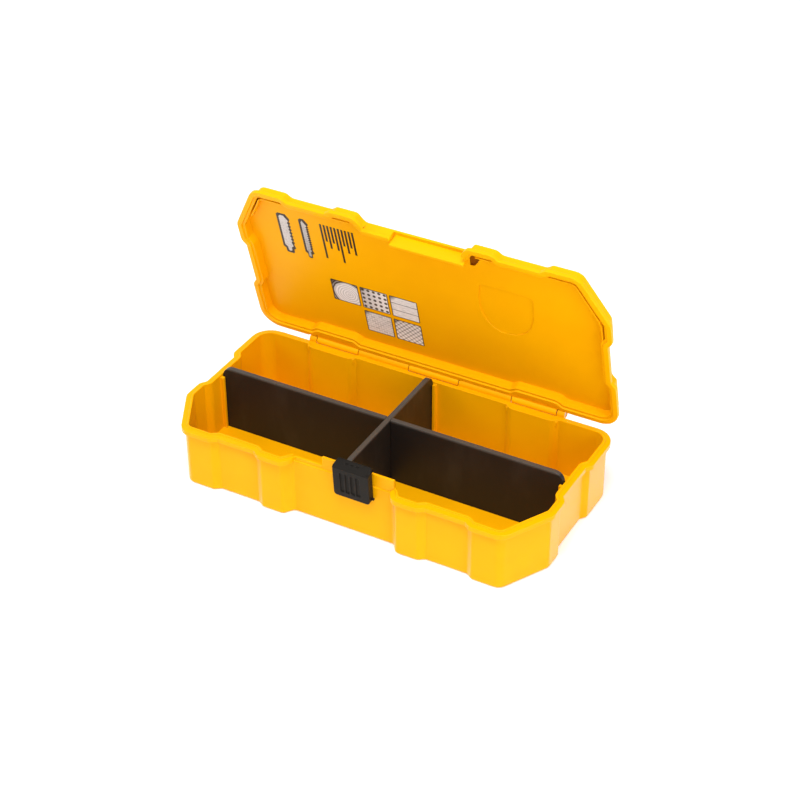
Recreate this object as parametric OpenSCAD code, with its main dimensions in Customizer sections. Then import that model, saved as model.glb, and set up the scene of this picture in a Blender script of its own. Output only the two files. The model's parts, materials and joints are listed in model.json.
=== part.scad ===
// Saw blade storage case: a hinged moulded box with two crossed dividers and a front latch.
// The front faces -Y and the base stands on z = 0. The lid and the latch are drawn as they stand
// with the case open.

/* [Case] */
// Length of the base over its end walls
case_length = 230; // [200:1:300]
// Depth of the base over its front and rear walls
case_depth = 108.8; // [96:0.2:140]
// Height of the base up to the face that the lid closes on
base_height = 37.8; // [34:0.2:60]
// Thickness of the base's walls
wall = 2.2; // [1.8:0.1:2.6]
// Thickness of the base's floor
floor_thickness = 1.6; // [1.2:0.1:3]
// How far the rim stands out from the walls
rim_out = 2.2; // [1.5:0.1:2.6]
// Height of the base's rim
rim_height = 3.1; // [2:0.1:5]
// Height of the sealing bead on the base's rim
bead_height = 0.8; // [0.4:0.1:1.2]
// Width of the sealing bead
bead_width = 1.2; // [0.8:0.1:1.4]
// Gap between the bead and the groove that takes it
bead_gap = 0.2; // [0.1:0.05:0.3]

/* [Outline] */
// Depth of the shallow recesses between the wall's pads
recess_depth = 2.8; // [1:0.1:3.6]
// Length of the slope from a pad down into a recess
step_run = 3.6; // [2:0.1:5]
// Length of the corner cut along the front
corner_cut_x = 15.5; // [8:0.5:20]
// Length of the corner cut along the end
corner_cut_y = 28.7; // [16:0.1:34]
// Width of the front pads beside the corner cuts
corner_pad = 17.2; // [10:0.1:20]
// Width of the front pads beside the latch bay
bay_pad = 13.7; // [8:0.1:16]
// Width of the latch bay at its rear wall
bay_width = 63.7; // [54:0.1:72]
// Depth of the latch bay
bay_depth = 6; // [5:0.1:7]
// Length of the slope at each side of the latch bay
bay_run = 4; // [2:0.1:6]
// Length of the end pads behind the corner cuts
end_pad = 12; // [6:0.5:14]
// Length of the end pads beside the rear corners
rear_end_pad = 30.5; // [22:0.5:34]
// Width of the rear pad in the middle
rear_mid_pad = 100.6; // [92:0.2:108]
// Width of the rear pads beside the corners
rear_corner_pad = 32.8; // [24:0.2:36]
// Outer radius of the rear corners
rear_radius = 10; // [6:0.5:14]
// Radius of the other corners
soft_radius = 3; // [1:0.5:3]

/* [Lid] */
// Height of the lid when it is closed
lid_height = 8; // [7:0.1:14]
// Thickness of the lid's panel
panel = 1.6; // [1.2:0.1:2.4]
// Thickness of the lid's walls
lid_wall = 2; // [1.6:0.1:2.4]
// How far the lid's walls stand in from the base's walls
lid_inset = 0.5; // [0:0.1:0.6]
// Height of the lid's rim
lid_rim_height = 2.4; // [1.8:0.1:3]
// How far the lid stands open
open_angle = 74.2; // [0:0.1:117]
// Opening at which the lid meets its stop
stop_angle = 119; // [100:1:125]
// Depth of the skirt that reaches into the base behind the tongue
skirt_depth = 1.8; // [1:0.1:4]
// How far the rims' ends reach in over the bay
flange_reach = 0.9; // [0:0.1:1.2]
// Gap between the end of the lid's front wall and the corner of the bay
bay_corner_gap = 0.5; // [0:0.1:1]
// Thickness of the skirt
skirt_thickness = 1.8; // [1.4:0.1:2.2]

/* [Hinge] */
// How far the hinge line stands behind the rear wall
hinge_out = 4.6; // [4.4:0.1:6]
// How far the hinge line stands above the closing face
hinge_up = 0.8; // [0.4:0.1:1]
// Outer radius of the knuckles
knuckle_radius = 2.7; // [2.2:0.1:3]
// Radius of the hinge pin
pin_radius = 1.2; // [0.8:0.1:1.4]
// Radial clearance of the pin in the base's knuckles
pin_seat = 0.02; // [0.01:0.01:0.05]
// Radial clearance of the pin in the lid's knuckles
pin_play = 0.06; // [0.02:0.01:0.1]
// Gap between neighbouring knuckles
knuckle_gap = 0.5; // [0.3:0.1:1]
// Gap between a rim and the other part's knuckles
rim_gap = 0.4; // [0.3:0.1:0.6]
// Gap between the lid's knuckle arms and the base
arm_gap = 0.2; // [0.1:0.05:0.3]
// Width of the lid's middle knuckle
mid_knuckle = 32.8; // [20:0.2:40]
// Width of each long knuckle on the base
base_knuckle = 34.2; // [24:0.2:36]
// Width of each outer knuckle on the lid
lid_knuckle = 28.6; // [20:0.2:29]
// Width of each end knuckle on the base
end_knuckle = 5.2; // [3:0.2:8]
// Depth of the pin's ends inside the end knuckles
pin_end_inset = 0.6; // [0:0.1:1.5]
// Thickness of the stop tab under the lid's middle knuckle
stop_tab = 2; // [1.2:0.1:2.4]

/* [Latch] */
// Place of the latch's middle along the front
latch_x = 8.4; // [4:0.1:14]
// Width of the latch
latch_width = 22.4; // [18:0.1:26]
// Thickness of the latch's front plate
latch_plate = 1.4; // [1.2:0.1:1.5]
// Thickness of the latch's side walls
latch_side = 1.6; // [1.2:0.1:2]
// How far the latch's front stands out from the bay's rear wall
latch_out = 4.8; // [4.7:0.1:5.6]
// Gap between the locked latch's side walls and the bay's rear wall
latch_wall_gap = 0.5; // [0.4:0.1:0.8]
// Gap between the latch's round feet and the bay's rear wall
latch_foot_gap = 0.3; // [0.2:0.05:0.4]
// How far the latch pin stands out from the bay's rear wall
latch_pin_out = 1.7; // [1.7:0.1:1.8]
// Height of the latch pin above the ground
latch_pin_z = 28.6; // [24:0.1:30]
// Radius of the latch pin
latch_pin_radius = 0.8; // [0.6:0.05:0.9]
// Radial clearance of the latch pin in its lugs
latch_pin_seat = 0.02; // [0.01:0.01:0.05]
// Radial clearance of the latch on its pin
latch_pin_play = 0.06; // [0.02:0.01:0.1]
// How far the latch pin's ends stand out from the latch
latch_pin_end = 1.2; // [0.3:0.1:1.2]
// Reach of the latch below its pin
latch_below = 2.4; // [2:0.1:2.6]
// Thickness of the latch's hook
hook_thickness = 2.2; // [1.6:0.1:2.4]
// Height that the latch's top slopes up from its front to its hook's tip
hook_rise = 2.6; // [1.5:0.1:3]
// Radius of the latch's corners seen from the front
latch_corner = 2; // [1:0.1:2.4]
// Overlap of the hook on the lid's edge when locked
hook_overlap = 1; // [0.6:0.1:1]
// Gap between the locked hook and the lid's top
hook_gap = 0.2; // [0.1:0.1:0.4]
// How far the unlocked latch leans out
latch_tilt = 4.5; // [4.5:0.5:20]
// Width of each lug that carries the latch pin
lug_width = 4; // [2:0.5:5]
// Distance between the middles of the two lugs
lug_spacing = 11; // [9:0.5:12]
// Largest radius of the lugs
lug_round = 1.6; // [1:0.1:1.8]
// Gap between the lugs and the latch's front plate
lug_gap = 0.35; // [0.3:0.05:0.5]
// How far the grip window stands left of the latch's middle
window_left = 0.6; // [0:0.1:1]
// Width of the grip window in the latch's front
window_width = 12.4; // [10:0.2:14]
// Height of the grip window
window_height = 13; // [8:0.5:13]
// Depth of the grip window
window_depth = 0.7; // [0.3:0.1:0.9]
// Width of the grip ribs in the window
grip_rib = 1; // [0.6:0.1:1.2]
// Distance between the grip ribs
grip_pitch = 3.3; // [2.8:0.1:3.5]

/* [Tongue] */
// Width of the raised tongue behind the latch
tongue_width = 45.2; // [38:0.2:50]
// Gap between the tongue's top and the closed lid's panel
tongue_gap = 0.6; // [0.2:0.1:1]
// How far the bay's wall steps in above its ledge
ledge_step = 0.7; // [0.3:0.1:0.9]
// Height of the ledge below the closing face
ledge_drop = 2.4; // [1:0.1:4]
// Gap between the lid's skirt and the base's wall
skirt_gap = 0.4; // [0.3:0.1:0.6]

/* [Dividers] */
// Thickness of the dividers
divider = 3; // [1.4:0.1:3.4]
// Gap between the dividers and the closed lid's panel
divider_gap = 0.7; // [0.3:0.1:1]
// How far the long divider stands behind the middle of the case
divider_y = 1.9; // [-6:0.1:6]
// How far the cross divider stands right of the middle of the case
cross_x = 1; // [-6:0.1:6]
// Gap at the ends of the dividers
divider_end_gap = 0.5; // [0.2:0.05:0.6]
// Gap at each side of a divider in its channels and slots
divider_play = 0.2; // [0.1:0.05:0.3]
// Radius of the dividers' top corners
divider_corner = 5.7; // [2:0.1:8]
// Thickness of the channel ribs on the walls
channel_rib = 2; // [1:0.1:2.4]
// How far the channel ribs stand out from the walls
channel_out = 2.2; // [1:0.1:3]
// Distance from the closing face down to the ribs' tops
channel_drop = 0.5; // [0.3:0.1:6]

/* [Hidden] */
// Roundness of the bores, pins and knuckles
$fn = 48;
half_length = case_length / 2;
half_depth = case_depth / 2;
bay_half = bay_width / 2;
bay_y = bay_depth - half_depth;
front_recess_y = recess_depth - half_depth;
bay_pad_start = bay_half + bay_run;
bay_pad_end = bay_pad_start + bay_pad;
corner_pad_end = half_length - corner_cut_x;
corner_pad_start = corner_pad_end - corner_pad;
end_pad_front = corner_cut_y - half_depth;
end_recess_front = end_pad_front + end_pad;
end_recess_rear = half_depth - rear_end_pad;
end_recess_x = half_length - recess_depth;
rear_recess_outer = half_length - rear_corner_pad;
rear_recess_inner = rear_mid_pad / 2;
rear_recess_y = half_depth - recess_depth;

groove_inset = wall - bead_width - bead_gap;
panel_under = base_height + lid_height - panel;
lid_top = base_height + lid_height;
hinge_y = half_depth + hinge_out;
hinge_z = base_height + hinge_up;
// The rims are cut back this far from the hinge line beside the other part's knuckles
knuckle_clear = knuckle_radius + rim_gap;
end_1 = mid_knuckle / 2;
end_2 = end_1 + base_knuckle;
end_3 = end_2 + lid_knuckle;
end_4 = end_3 + end_knuckle;

tongue_outer_y = bay_y + ledge_step;
tongue_inner_y = bay_y + wall;
tongue_right = bay_half;
tongue_left = tongue_right - tongue_width;
tongue_top = panel_under - tongue_gap;
skirt_outer_y = tongue_inner_y + skirt_gap;
skirt_inner_y = skirt_outer_y + skirt_thickness;
skirt_left = tongue_left + skirt_gap;
skirt_bottom = base_height - skirt_depth;

latch_pin_y = bay_y - latch_pin_out;
latch_front_y = bay_y - latch_out;
latch_plate_y = latch_front_y + latch_plate;
latch_bottom = latch_pin_z - latch_below;
latch_rear_y = bay_y - latch_wall_gap;
latch_pivot_radius = latch_pin_out - latch_foot_gap;
hook_under = lid_top + hook_gap;
hook_top = hook_under + hook_thickness;
hook_tip_y = bay_y + lid_inset + hook_overlap;
lug_radius = min(latch_pin_y - latch_plate_y - lug_gap, lug_round);

divider_top = panel_under - divider_gap;
lap_z = (floor_thickness + divider_top) / 2;
end_inner_x = end_recess_x - wall;
rear_inner_y = half_depth - wall;
long_end = end_inner_x - divider_end_gap;
cross_rear = rear_inner_y - divider_end_gap;
cross_front = tongue_inner_y + divider_end_gap;
cross_front_top = skirt_inner_y + skirt_gap;
rib_top = base_height - channel_drop;
front_rib_top = skirt_bottom - skirt_gap;

// Outline of the base's walls on the right, from the front's middle round to the rear's middle,
// each corner with its radius and its number of steps
right_corners = [
    [bay_half, bay_y, soft_radius, 2],
    [bay_pad_start, -half_depth, soft_radius, 2],
    [bay_pad_end, -half_depth, soft_radius, 2],
    [bay_pad_end + step_run, front_recess_y, soft_radius, 2],
    [corner_pad_start - step_run, front_recess_y, soft_radius, 2],
    [corner_pad_start, -half_depth, soft_radius, 2],
    [corner_pad_end, -half_depth, 2 * soft_radius, 4],
    [half_length, end_pad_front, 2 * soft_radius, 3],
    [half_length, end_recess_front, soft_radius, 2],
    [end_recess_x, end_recess_front + step_run, soft_radius, 2],
    [end_recess_x, end_recess_rear - step_run, soft_radius, 2],
    [half_length, end_recess_rear, soft_radius, 2],
    [half_length, half_depth, rear_radius, 8],
    [rear_recess_outer, half_depth, soft_radius, 2],
    [rear_recess_outer - step_run, rear_recess_y, soft_radius, 2],
    [rear_recess_inner + step_run, rear_recess_y, soft_radius, 2],
    [rear_recess_inner, half_depth, soft_radius, 2]
];
corner_count = len(right_corners);
corners = concat(
    right_corners,
    [for (i = [corner_count - 1:-1:0]) let (c = right_corners[i]) [-c[0], c[1], c[2], c[3]]]
);
function at(list, i) = list[(i + len(list)) % len(list)];
function unit(v) = v / norm(v);
function flat(c) = [c[0], c[1]];
function left_normal(a, b) = let (d = unit(b - a)) [-d[1], d[0]];
// Points of the arc that rounds the corner p between its neighbours a and b
function arc_points(a, p, b, r, n) =
    let (
        u = unit(a - p),
        v = unit(b - p),
        half = acos(u * v) / 2,
        middle = p + unit(u + v) * r / sin(half),
        first = p + u * r / tan(half) - middle,
        last = p + v * r / tan(half) - middle,
        start = atan2(first[1], first[0]),
        turn = (atan2(last[1], last[0]) - start + 540) % 360 - 180
    )
    [for (i = [0:n]) middle + r * [cos(start + turn * i / n), sin(start + turn * i / n)]];
// The sharp outline's corner i, moved inwards by d, or outwards where d is below zero
function moved(i, d) =
    let (
        p = flat(corners[i]),
        n1 = left_normal(flat(at(corners, i - 1)), p),
        n2 = left_normal(p, flat(at(corners, i + 1)))
    )
    p + d * (n1 + n2) / (1 + n1 * n2);
// The outline moved by d and rounded at its corners
function outline(d) =
    let (points = [for (i = [0:len(corners) - 1]) moved(i, d)])
    [
        for (i = [0:len(points) - 1])
            let (
                a = at(points, i - 1),
                p = points[i],
                b = at(points, i + 1),
                r = corners[i][2] + (cross(p - a, b - p) > 0 ? -d : d)
            )
                for (q = arc_points(a, p, b, max(r, 0.3), corners[i][3]))
                    q
    ];

module slab(d, z0, z1) {
    translate([0, 0, z0])
        linear_extrude(z1 - z0)
            polygon(outline(d));
}

module ring(outer, inner, z0, z1) {
    translate([0, 0, z0])
        linear_extrude(z1 - z0)
            difference() {
                polygon(outline(outer));
                polygon(outline(inner));
            }
}

module block(x0, x1, y0, y1, z0, z1) {
    translate([x0, y0, z0])
        cube([x1 - x0, y1 - y0, z1 - z0]);
}

// A round bar along X on the hinge line
module hinge_bar(x0, x1, r) {
    translate([x0, hinge_y, hinge_z])
        rotate([0, 90, 0])
            cylinder(r = r, h = x1 - x0);
}

// A round bar along X on the latch's pivot
module latch_bar(x0, x1, r) {
    translate([x0, latch_pin_y, latch_pin_z])
        rotate([0, 90, 0])
            cylinder(r = r, h = x1 - x0);
}

// Clears whatever stands in the latch bay in front of its rear wall
module bay_clearance(y1, z0, z1) {
    block(flange_reach - bay_half, bay_half - flange_reach, -half_depth - 2 * rim_out, y1, z0, z1);
}

// A base knuckle between two places along the hinge line, with its bracket
module base_hinge(x0, x1) {
    hinge_bar(x0 + knuckle_gap / 2, x1 - knuckle_gap / 2, knuckle_radius);
    block(x0 + knuckle_gap / 2, x1 - knuckle_gap / 2, half_depth - wall / 2, hinge_y,
        hinge_z - knuckle_radius, base_height);
}

// A lid knuckle between two places along the hinge line, with its arm from the wall at y0
module lid_hinge(x0, x1, y0) {
    hinge_bar(x0 + knuckle_gap / 2, x1 - knuckle_gap / 2, knuckle_radius);
    block(x0 + knuckle_gap / 2, x1 - knuckle_gap / 2, y0, hinge_y,
        base_height + arm_gap, hinge_z + knuckle_radius);
}

// All the lid's knuckles, with their arms cut clear of the base's bead and of the lid's inside
module lid_hinges() {
    difference() {
        union() {
            lid_hinge(-end_1, end_1, half_depth - groove_inset);
            lid_hinge(end_2, end_3, rear_recess_y - groove_inset);
            lid_hinge(-end_3, -end_2, rear_recess_y - groove_inset);
        }
        slab(groove_inset, base_height - 1, base_height + bead_height + bead_gap);
        slab(lid_inset + lid_wall, base_height - 1, panel_under);
    }
}

// Cuts a rim back from the hinge line beside the other part's knuckle
module rim_notch(x0, x1, z0, z1) {
    block(x0, x1, hinge_y - knuckle_clear, hinge_y + knuckle_radius, z0, z1);
}

// One lug for the latch pin, with its middle at x
module lug(x) {
    latch_bar(x - lug_width / 2, x + lug_width / 2, lug_radius);
    block(x - lug_width / 2, x + lug_width / 2, latch_pin_y, bay_y + wall / 2,
        latch_pin_z - lug_radius, latch_pin_z + lug_radius);
}

// A pair of channel ribs on an end wall
module end_channel(side) {
    for (s = [-1, 1])
        translate([side * (end_inner_x + wall / 2 - channel_out / 2 - wall / 4),
            divider_y + s * (divider / 2 + divider_play + channel_rib / 2), (floor_thickness / 2 + rib_top) / 2])
            cube([channel_out + wall / 2, channel_rib, rib_top - floor_thickness / 2], center = true);
}

// A pair of channel ribs across the case, from the place y0 to the place y1
module cross_channel(y0, y1, top) {
    for (s = [-1, 1])
        translate([cross_x + s * (divider / 2 + divider_play + channel_rib / 2) - channel_rib / 2, y0, floor_thickness / 2])
            cube([channel_rib, y1 - y0, top - floor_thickness / 2]);
}

module base_tub() {
    color([0.93, 0.66, 0.04])
        difference() {
            union() {
                difference() {
                    slab(0, 0, base_height);
                    slab(wall, floor_thickness, base_height + 1);
                    block(-bay_half, bay_half, bay_y - 1, tongue_outer_y, base_height - ledge_drop, base_height + 1);
                }
                difference() {
                    union() {
                        ring(-rim_out, wall / 2, base_height - rim_height, base_height);
                        ring(wall - bead_width, wall, base_height - 1, base_height + bead_height);
                        for (s = [-1, 1])
                            block(s > 0 ? rear_recess_inner : -rear_recess_outer,
                                s > 0 ? rear_recess_outer : -rear_recess_inner,
                                rear_recess_y - wall / 2, half_depth + rim_out, base_height - rim_height, base_height);
                    }
                    bay_clearance(tongue_outer_y, base_height - rim_height - 1, base_height + 1);
                    block(-bay_half, bay_half, bay_y - 1, skirt_inner_y, base_height, base_height + 2);
                    rim_notch(-end_1, end_1, base_height - rim_height - 1, base_height + 2);
                    for (s = [-1, 1])
                        rim_notch(s > 0 ? end_2 : -end_3, s > 0 ? end_3 : -end_2,
                            base_height - rim_height - 1, base_height + 2);
                }
                block(tongue_left, tongue_right, tongue_outer_y, tongue_inner_y, base_height - 5, tongue_top);
                lug(latch_x - lug_spacing / 2);
                lug(latch_x + lug_spacing / 2);
                end_channel(-1);
                end_channel(1);
                cross_channel(rear_inner_y - channel_out, rear_inner_y + wall / 2, rib_top);
                cross_channel(tongue_inner_y - wall / 2, tongue_inner_y + channel_out, front_rib_top);
                base_hinge(end_1, end_2);
                base_hinge(-end_2, -end_1);
                base_hinge(end_3, end_4);
                base_hinge(-end_4, -end_3);
            }
            hinge_bar(-half_length, half_length, pin_radius + pin_seat);
            latch_bar(latch_x - latch_width, latch_x + latch_width, latch_pin_radius + latch_pin_seat);
        }
}

// The tab that meets the base's rim when the lid is fully open
module lid_stop() {
    rim_under = hinge_z - base_height + rim_height;
    rim_corner = 180 + atan2(knuckle_clear, rim_under);
    tab_length = norm([knuckle_clear, rim_under]) + 0.5;
    translate([0, hinge_y, hinge_z])
        rotate([90 + stop_angle - rim_corner, 0, 0])
            translate([-end_1 + 2, 0, 0])
                difference() {
                    cube([mid_knuckle - 4, tab_length, stop_tab]);
                    translate([-1, -1, -1])
                        cube([mid_knuckle, pin_radius + 1.6, stop_tab + 2]);
                }
}

module closed_lid() {
    difference() {
        union() {
            difference() {
                union() {
                    ring(-rim_out, lid_inset + lid_wall / 2, base_height, base_height + lid_rim_height);
                    slab(lid_inset, base_height, lid_top);
                }
                slab(lid_inset + lid_wall, base_height - 1, panel_under);
                ring(groove_inset, lid_inset + lid_wall + 0.5, base_height - 1, base_height + bead_height + bead_gap);
                bay_clearance(bay_y, base_height - 1, lid_top + 1);
                block(tongue_left - skirt_gap, tongue_right + skirt_gap, bay_y - 1, skirt_outer_y,
                    base_height - 1, panel_under);
                for (s = [-1, 1]) {
                    rim_notch(s > 0 ? end_1 : -end_2, s > 0 ? end_2 : -end_1, base_height - 1, lid_top + 1);
                    rim_notch(s > 0 ? end_3 : -end_4 - knuckle_gap, s > 0 ? end_4 + knuckle_gap : -end_3,
                        base_height - 1, lid_top + 1);
                }
            }
            block(bay_corner_gap - bay_half, tongue_left - skirt_gap, bay_y + lid_inset, bay_y + lid_inset + lid_wall,
                base_height, panel_under + panel / 2);
            block(skirt_left, tongue_right + lid_wall / 2, skirt_outer_y, skirt_inner_y,
                skirt_bottom, panel_under + panel / 2);
            lid_hinges();
            lid_stop();
        }
        hinge_bar(-half_length, half_length, pin_radius + pin_play);
    }
}

module lid() {
    color([0.9, 0.62, 0.03])
        translate([0, hinge_y, hinge_z])
            rotate([-open_angle, 0, 0])
                translate([0, -hinge_y, -hinge_z])
                    closed_lid();
}

module hinge_pin() {
    color([0.7, 0.72, 0.74])
        hinge_bar(pin_end_inset - end_4, end_4 - pin_end_inset, pin_radius);
}

// Side wall of the latch, from x0 on, with its round foot about the pin
module latch_wall(x0) {
    block(x0, x0 + latch_side, latch_plate_y - 0.5, latch_rear_y, latch_pin_z, hook_under + 0.5);
    block(x0, x0 + latch_side, latch_plate_y - 0.5, latch_pin_y, latch_pin_z - latch_pivot_radius, latch_pin_z + 1);
    latch_bar(x0, x0 + latch_side, latch_pivot_radius);
}

// The latch's front plate with its hook, from x0 to x1
module hook_plate(x0, x1) {
    translate([x0, 0, 0])
        rotate([90, 0, 90])
            linear_extrude(x1 - x0)
                polygon([
                    [latch_front_y, latch_bottom],
                    [latch_plate_y, latch_bottom],
                    [latch_plate_y, hook_under],
                    [hook_tip_y, hook_under],
                    [hook_tip_y, hook_top],
                    [hook_tip_y - 1, hook_top],
                    [latch_front_y, hook_top - hook_rise]
                ]);
}

// Everything inside the latch's outline as it is seen from the front
module latch_face(x0, x1) {
    translate([0, hook_tip_y + 1, 0])
        rotate([90, 0, 0])
            linear_extrude(2 * latch_out + 2)
                union() {
                    translate([x0 + latch_corner, latch_bottom])
                        square([x1 - x0 - 2 * latch_corner, hook_top - latch_bottom]);
                    translate([x0, latch_bottom + latch_corner])
                        square([x1 - x0, hook_top - latch_bottom - 2 * latch_corner]);
                    for (x = [x0 + latch_corner, x1 - latch_corner])
                        for (z = [latch_bottom + latch_corner, hook_top - latch_corner])
                            translate([x, z])
                                circle(r = latch_corner);
                }
}

module locked_latch() {
    left = latch_x - latch_width / 2;
    right = latch_x + latch_width / 2;
    window_mid = latch_x - window_left;
    window_low = latch_pin_z + 1;
    difference() {
        intersection() {
            union() {
                hook_plate(left, right);
                latch_wall(left);
                latch_wall(right - latch_side);
            }
            latch_face(left, right);
        }
        latch_bar(left - 1, right + 1, latch_pin_radius + latch_pin_play);
        difference() {
            block(window_mid - window_width / 2, window_mid + window_width / 2,
                latch_front_y - 1, latch_front_y + window_depth, window_low, window_low + window_height);
            for (i = [-1:1])
                block(window_mid + i * grip_pitch - grip_rib / 2, window_mid + i * grip_pitch + grip_rib / 2,
                    latch_front_y - 2, latch_front_y + window_depth + 1, window_low - 1, window_low + window_height + 1);
        }
        for (i = [-1:1])
            block(window_mid + i * grip_pitch - grip_rib, window_mid + i * grip_pitch + grip_rib,
                latch_plate_y - 0.4, hook_tip_y - 2.2, hook_top - window_depth - 0.5, hook_top + 1);
    }
}

module latch() {
    color([0.17, 0.15, 0.14])
        translate([0, latch_pin_y, latch_pin_z])
            rotate([latch_tilt, 0, 0])
                translate([0, -latch_pin_y, -latch_pin_z])
                    locked_latch();
}

module latch_pin() {
    color([0.2, 0.18, 0.17])
        latch_bar(latch_x - latch_width / 2 - latch_pin_end, latch_x + latch_width / 2 + latch_pin_end,
            latch_pin_radius);
}

// A divider's side view from u0 to u1, with its two top corners rounded
module divider_shape(u0, u1) {
    polygon(concat(
        [[u0, floor_thickness], [u1, floor_thickness]],
        arc_points([u1, floor_thickness], [u1, divider_top], [u0, divider_top], divider_corner, 8),
        arc_points([u1, divider_top], [u0, divider_top], [u0, floor_thickness], divider_corner, 8)
    ));
}

module long_divider() {
    color([0.19, 0.15, 0.13])
        difference() {
            translate([0, divider_y + divider / 2, 0])
                rotate([90, 0, 0])
                    linear_extrude(divider)
                        divider_shape(-long_end, long_end);
            block(cross_x - divider / 2 - divider_play, cross_x + divider / 2 + divider_play,
                divider_y - divider, divider_y + divider, lap_z, divider_top + 1);
        }
}

module cross_divider() {
    color([0.22, 0.18, 0.16])
        difference() {
            translate([cross_x - divider / 2, 0, 0])
                rotate([90, 0, 90])
                    linear_extrude(divider)
                        difference() {
                            divider_shape(cross_front, cross_rear);
                            translate([cross_front - 1, front_rib_top])
                                square([cross_front_top - cross_front + 1, divider_top]);
                        }
            block(cross_x - divider, cross_x + divider, divider_y - divider / 2 - divider_play,
                divider_y + divider / 2 + divider_play, floor_thickness - 1, lap_z + divider_end_gap);
        }
}

base_tub();
lid();
hinge_pin();
latch();
latch_pin();
long_divider();
cross_divider();
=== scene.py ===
"""Dresses the saw blade storage case: moulded shells, dividers, latch, printed panel and studio."""

import json
import logging
import math
from dataclasses import dataclass
from enum import Enum
from typing import Callable, ClassVar, Sequence

import bmesh
import bpy
from mathutils import Matrix, Vector
from mathutils.geometry import intersect_line_line_2d, intersect_point_line

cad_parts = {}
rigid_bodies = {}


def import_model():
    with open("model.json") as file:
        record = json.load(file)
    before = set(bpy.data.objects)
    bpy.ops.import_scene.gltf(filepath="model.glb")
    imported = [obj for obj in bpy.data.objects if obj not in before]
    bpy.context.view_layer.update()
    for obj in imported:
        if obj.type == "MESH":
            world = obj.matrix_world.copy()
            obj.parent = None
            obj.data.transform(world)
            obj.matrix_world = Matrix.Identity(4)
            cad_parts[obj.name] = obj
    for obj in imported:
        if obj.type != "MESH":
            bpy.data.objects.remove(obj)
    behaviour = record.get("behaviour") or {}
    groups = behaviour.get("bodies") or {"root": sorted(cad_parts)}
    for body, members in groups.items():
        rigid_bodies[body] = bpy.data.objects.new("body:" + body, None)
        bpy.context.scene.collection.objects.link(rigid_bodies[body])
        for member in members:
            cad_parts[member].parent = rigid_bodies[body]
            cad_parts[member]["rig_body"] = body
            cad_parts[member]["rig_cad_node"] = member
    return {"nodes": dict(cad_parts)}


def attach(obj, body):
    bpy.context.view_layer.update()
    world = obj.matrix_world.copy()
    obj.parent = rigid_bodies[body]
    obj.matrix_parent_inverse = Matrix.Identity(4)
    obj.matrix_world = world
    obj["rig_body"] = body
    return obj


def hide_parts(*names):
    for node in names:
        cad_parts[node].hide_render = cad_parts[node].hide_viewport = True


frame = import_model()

LOG = logging.getLogger("storage_case")
MM = 0.001
PANEL_FACE = 44.2 * MM
Point = tuple[float, float, float]
EdgeRule = Callable[[Vector, Vector, float], bool]


class Value:
    """A scalar socket of a node tree that takes part in Python expressions."""

    def __init__(self, sheet: "Sheet", socket: bpy.types.NodeSocket) -> None:
        """Wraps a socket.

        Args:
            sheet: The sheet that the socket belongs to.
            socket: An output socket that carries a number.
        """
        self.sheet = sheet
        self.socket = socket

    def _math(self, operation: str, first: "Value | float", second: "Value | float" = 0.0) -> "Value":
        """Adds a Math node.

        Args:
            operation: The Math node's operation.
            first: Its first value.
            second: Its second value.

        Returns:
            The node's result.
        """
        node = self.sheet.node("ShaderNodeMath", {"operation": operation}, {0: first, 1: second})
        return Value(self.sheet, node.outputs[0])

    def __add__(self, other: "Value | float") -> "Value":
        """Returns self + other."""
        return self._math("ADD", self, other)

    __radd__ = __add__

    def __sub__(self, other: "Value | float") -> "Value":
        """Returns self - other."""
        return self._math("SUBTRACT", self, other)

    def __rsub__(self, other: "Value | float") -> "Value":
        """Returns other - self."""
        return self._math("SUBTRACT", other, self)

    def __mul__(self, other: "Value | float") -> "Value":
        """Returns self * other."""
        return self._math("MULTIPLY", self, other)

    __rmul__ = __mul__

    def __gt__(self, other: "Value | float") -> "Value":
        """Returns 1 where self is above other, else 0."""
        return self._math("GREATER_THAN", self, other)

    def __lt__(self, other: "Value | float") -> "Value":
        """Returns 1 where self is below other, else 0."""
        return self._math("LESS_THAN", self, other)

    def __abs__(self) -> "Value":
        """Returns the size of self."""
        return self._math("ABSOLUTE", self)

    def __mod__(self, other: "Value | float") -> "Value":
        """Returns what is left of self after whole steps of other, never below 0."""
        return self._math("FLOORED_MODULO", self, other)

    def least(self, other: "Value | float") -> "Value":
        """Returns the smaller of the two."""
        return self._math("MINIMUM", self, other)

    def root(self) -> "Value":
        """Returns the square root."""
        return self._math("SQRT", self)

    def ramp(self, low: float, high: float) -> "Value":
        """Rises smoothly from 0 to 1 between two values.

        Args:
            low: Where the result is 0.
            high: Where the result is 1.

        Returns:
            The smooth step of self.
        """
        node = self.sheet.node("ShaderNodeMapRange", {"interpolation_type": "SMOOTHSTEP"}, {
            "Value": self, "From Min": low, "From Max": high})
        return Value(self.sheet, node.outputs["Result"])


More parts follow.
